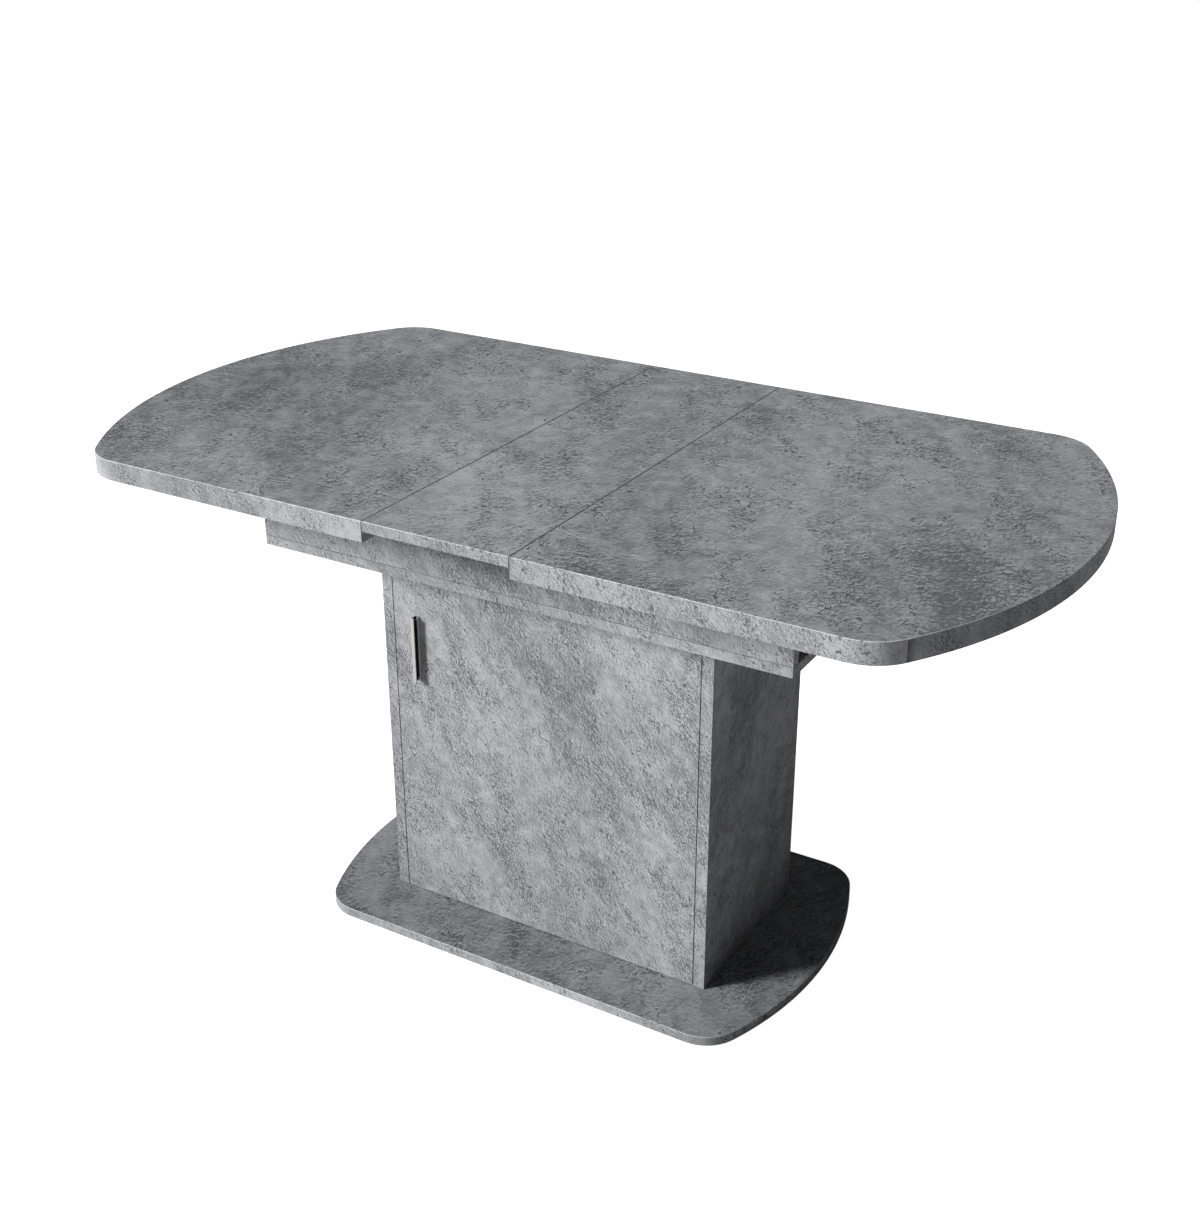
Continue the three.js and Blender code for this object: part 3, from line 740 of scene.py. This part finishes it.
def ball_row(name, centres, radius):
    """Steel balls: each point is its centre plus the radius along a latitude and a longitude."""
    longitude = np.linspace(0, 2 * math.pi, ball_sides, endpoint=False)
    latitude = np.linspace(-math.pi / 2, math.pi / 2, ball_sides // 2 + 1)[1:-1]
    lat, lon = np.meshgrid(latitude, longitude, indexing="ij")
    belt = np.stack([np.cos(lat) * np.cos(lon), np.cos(lat) * np.sin(lon), np.sin(lat)],
                    -1).reshape(-1, 3)
    unit = np.concatenate([belt, [[0, 0, -1], [0, 0, 1]]])
    rows, columns = len(latitude), ball_sides
    row, column = np.meshgrid(np.arange(rows - 1), np.arange(columns), indexing="ij")
    after = (column + 1) % columns
    quads = np.stack([row * columns + column, row * columns + after,
                      (row + 1) * columns + after, (row + 1) * columns + column],
                     -1).reshape(-1, 4)
    around = np.arange(columns)
    beside = (around + 1) % columns
    south, north, last = len(belt), len(belt) + 1, (rows - 1) * columns
    caps = np.concatenate([np.stack([beside, around, np.full(columns, south)], 1),
                           np.stack([last + around, last + beside, np.full(columns, north)], 1)])
    points = (np.array(centres)[:, None] + radius * unit[None]).reshape(-1, 3)
    offsets = np.arange(len(centres)) * len(unit)
    faces = [f for o in offsets for f in (quads + o).tolist() + (caps + o).tolist()]
    mesh = bpy.data.meshes.new(name)
    mesh.from_pydata(points.tolist(), [], faces)
    mesh.polygons.foreach_set("use_smooth", np.ones(len(faces), bool))
    mesh.materials.append(nickel_steel)
    balls = bpy.data.objects.new(name, mesh)
    bpy.context.scene.collection.objects.link(balls)
    return balls


for side_name in ("left", "right"):
    for face_name in ("front", "back"):
        slide = f"{side_name}_{face_name}"
        dressed(slide + "_slide_outer", "pedestal", [zinc_steel], 0.35 * MM)
        dressed(slide + "_slide_inner", side_name + "_top", [zinc_steel], 0.35 * MM)
        dressed(slide + "_ball_retainer", side_name + "_retainers",
                [nickel_steel], 0.25 * MM)
        dressed(slide + "_runner", side_name + "_top", [beech], 1.0 * MM)
        low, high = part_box(slide + "_ball_retainer")
        inner_low, inner_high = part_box(slide + "_slide_inner")
        outer_low, outer_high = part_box(slide + "_slide_outer")
        middle_y = (low.y + high.y) / 2
        count = int((high.x - low.x) / ball_spacing)
        start = (low.x + high.x - (count - 1) * ball_spacing) / 2
        upper_track = (inner_high.z + outer_high.z - channel_wall) / 2
        lower_track = (inner_low.z + outer_low.z + channel_wall) / 2
        centres = [(start + i * ball_spacing, middle_y, z)
                   for i in range(count) for z in (upper_track, lower_track)]
        balls = ball_row(slide + "_balls", centres, ball_radius)
        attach(balls, side_name + "_retainers")


# ---- Cupboard carcass ----
# Two side panels, a back panel and a shelf in the same sheet, joined without visible fixings.
# The shelf lies on four turned steel pins in holes in the side panels.
for side_name in ("left", "right"):
    dressed(side_name + "_side_panel", "pedestal", [laminate, band_decor],
            board_rounding, flat_axis=0)
    for face_name in ("front", "back"):
        dressed(f"shelf_pin_{side_name}_{face_name}", "pedestal",
                [nickel_steel], 0.3 * MM)
faced_board("back_panel", "pedestal", "y", (0.7, 1.9))
faced_board("shelf", "pedestal", "z", (1.1, 2.3))


# ---- Door and its fittings ----
# An inset door bored for two concealed hinges, a channel handle in satin aluminium with its open
# side towards the hinges, its inner faces painted near black as painted shade, and a magnetic
# catch behind the free edge. The door's four edges lie a little further out than the CAD door's,
# so that the joint round it is narrow.
door = dressed("door_panel", "door", [laminate, band_decor],
               board_rounding, flat_axis=1)
door_band = 0.9 * MM
door_low, door_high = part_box("door_panel")
points = np.empty(len(door.data.vertices) * 3, np.float32)
door.data.vertices.foreach_get("co", points)
points = points.reshape(-1, 3)
for axis in (0, 2):
    points[points[:, axis] < door_low[axis] + door_band, axis] -= door_band
    points[points[:, axis] > door_high[axis] - door_band, axis] += door_band
door.data.vertices.foreach_set("co", points.ravel())


def drawn_aluminium(name, dark, light):
    """Anodised aluminium drawn along Z, with fine upright lines."""
    material = bpy.data.materials.new(name)
    material.use_nodes = True
    tree = material.node_tree
    shader = tree.nodes["Principled BSDF"]
    shader.inputs["Metallic"].default_value = 0.35
    drawn = tree.nodes.new("ShaderNodeMapping")
    drawn.inputs["Scale"].default_value = (1.0, 1.0, 0.02)
    place = tree.nodes.new("ShaderNodeTexCoord").outputs["Object"]
    tree.links.new(place, drawn.inputs["Vector"])
    lines = noise(tree, drawn.outputs[0], 3500.0, 2.0, 0.6)
    tree.links.new(tint(tree, lines, dark, light), shader.inputs["Base Color"])
    tree.links.new(remap(tree, lines, 0.3, 0.7, 0.42, 0.3), shader.inputs["Roughness"])
    bump = tree.nodes.new("ShaderNodeBump")
    bump.inputs["Distance"].default_value = 0.03 * MM
    tree.links.new(lines, bump.inputs["Height"])
    tree.links.new(bump.outputs[0], shader.inputs["Normal"])
    return material


aluminium = drawn_aluminium("satin_aluminium", (0.52, 0.515, 0.50), (0.66, 0.655, 0.635))
# Painted shade: a near-black copy of the aluminium for the inside of the handle's channel,
# standing in for the shade in the recess.
shade_painted_aluminium = drawn_aluminium("aluminium_painted_shade", (0.04, 0.04, 0.04), (0.06, 0.06, 0.06))


def softened(corners, radius):
    """A closed outline with each corner softened: a parabola from the point one radius before
    the corner to the point one radius after it, with normals turned evenly between the sides."""
    corners = np.array(corners)
    ahead = np.roll(corners, -1, 0) - corners
    ahead /= np.linalg.norm(ahead, axis=1, keepdims=True)
    behind = np.roll(ahead, 1, 0)
    t = np.linspace(0, 1, corner_points)[None, :, None]
    start, end = corners - radius * behind, corners + radius * ahead
    points = ((1 - t) ** 2 * start[:, None] + 2 * t * (1 - t) * corners[:, None]
              + t ** 2 * end[:, None])
    normals = (1 - t) * behind[:, None] + t * ahead[:, None]
    normals = np.stack([normals[..., 1], -normals[..., 0]], -1)
    normals /= np.linalg.norm(normals, axis=2, keepdims=True)
    return points.reshape(-1, 2), normals.reshape(-1, 2)


corner_points = 4
low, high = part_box("door_handle")
wall, lip_wall = 1.5 * MM, 1.3 * MM
front = high.y - 12.5 * MM
band_edge = low.x + 5.6 * MM
lip_edge = high.y - 4.5 * MM
section = [(low.x, front), (band_edge, front), (band_edge, front + wall),
           (low.x + wall, front + wall), (low.x + wall, high.y - wall),
           (high.x - lip_wall, high.y - wall), (high.x - lip_wall, lip_edge),
           (high.x, lip_edge), (high.x, high.y), (low.x, high.y)]
outline = softened(section, 0.3 * MM)
handle = slab("door_handle_drawn", outline, low.z, high.z, 0.15 * MM,
              [aluminium, aluminium, shade_painted_aluminium])
# The channel's inner faces take the painted-shade aluminium.
step = np.arange(len(handle.data.polygons) - 2) % len(outline[0])
first_inner, first_lip = 2 * corner_points, 6 * corner_points
inside = (step >= first_inner) & (step < first_lip)
handle.data.polygons.foreach_set("material_index",
                                 np.append(np.where(inside, 2, 1), [0, 0]).astype(np.int32))
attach(handle, "door")
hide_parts("door_handle")
for level in ("lower", "upper"):
    dressed(level + "_handle_screw", "door", [zinc_steel], 0.3 * MM)
    dressed(level + "_hinge_cup", "door", [nickel_steel], 0.3 * MM)
    dressed(level + "_hinge_arm", "pedestal", [nickel_steel], 0.6 * MM)
dressed("strike_plate", "door", [zinc_steel], 0.3 * MM)


def moulded_plastic(name, dark, light, roughness):
    """Moulded plastic with a fine spark-eroded texture."""
    material = bpy.data.materials.new(name)
    material.use_nodes = True
    tree = material.node_tree
    shader = tree.nodes["Principled BSDF"]
    place = tree.nodes.new("ShaderNodeTexCoord").outputs["Object"]
    speckle = noise(tree, place, 1800.0, 3.0, 0.6)
    tree.links.new(tint(tree, speckle, dark, light), shader.inputs["Base Color"])
    tree.links.new(remap(tree, speckle, 0.3, 0.7, roughness + 0.08, roughness - 0.05),
                   shader.inputs["Roughness"])
    bump = tree.nodes.new("ShaderNodeBump")
    bump.inputs["Distance"].default_value = 0.05 * MM
    tree.links.new(speckle, bump.inputs["Height"])
    tree.links.new(bump.outputs[0], shader.inputs["Normal"])
    return material


white_plastic = moulded_plastic("white_plastic", (0.62, 0.62, 0.60), (0.78, 0.78, 0.76), 0.45)
dressed("magnetic_catch", "pedestal", [white_plastic], 1.0 * MM)


# ---- Base plate ----
# A board with the same bowed outline as the top and a band round its edge, on four black
# plastic glides that keep it just off the floor.
base_low, base_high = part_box("base_edge_band")
base_length, base_width = base_high.x * 2, base_high.y * 2
base_bow = 548 * MM
base_corner = 64 * MM


def base_outline(inset):
    """The bowed outline all round: one end and the same end turned half way round."""
    return joined(bowed_end(base_length, base_width, base_bow, base_corner, inset, 1),
                  bowed_end(base_length, base_width, base_bow, base_corner, inset, -1))


# The plate's face takes the darker sheet, painted shade under the top.
plate = slab("base_plate_faced", base_outline(band_thickness + band_seam), base_low.z,
             base_high.z, cut_rounding, [base_laminate_painted_shade, band_decor], shift=(0.6, 1.4))
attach(plate, "pedestal")
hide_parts("base_plate")
band = edge_band("base_band_rounded", base_outline(0.0), base_low.z, base_high.z, band_thickness,
                 edge_rounding, True, shift=(0.2, 2.0))
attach(band, "pedestal")
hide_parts("base_edge_band")
black_plastic = moulded_plastic("black_plastic", (0.018, 0.018, 0.018),
                                (0.035, 0.035, 0.036), 0.5)
for side_name in ("left", "right"):
    for face_name in ("front", "back"):
        dressed(f"{side_name}_{face_name}_glide", "pedestal", [black_plastic],
                0.5 * MM)
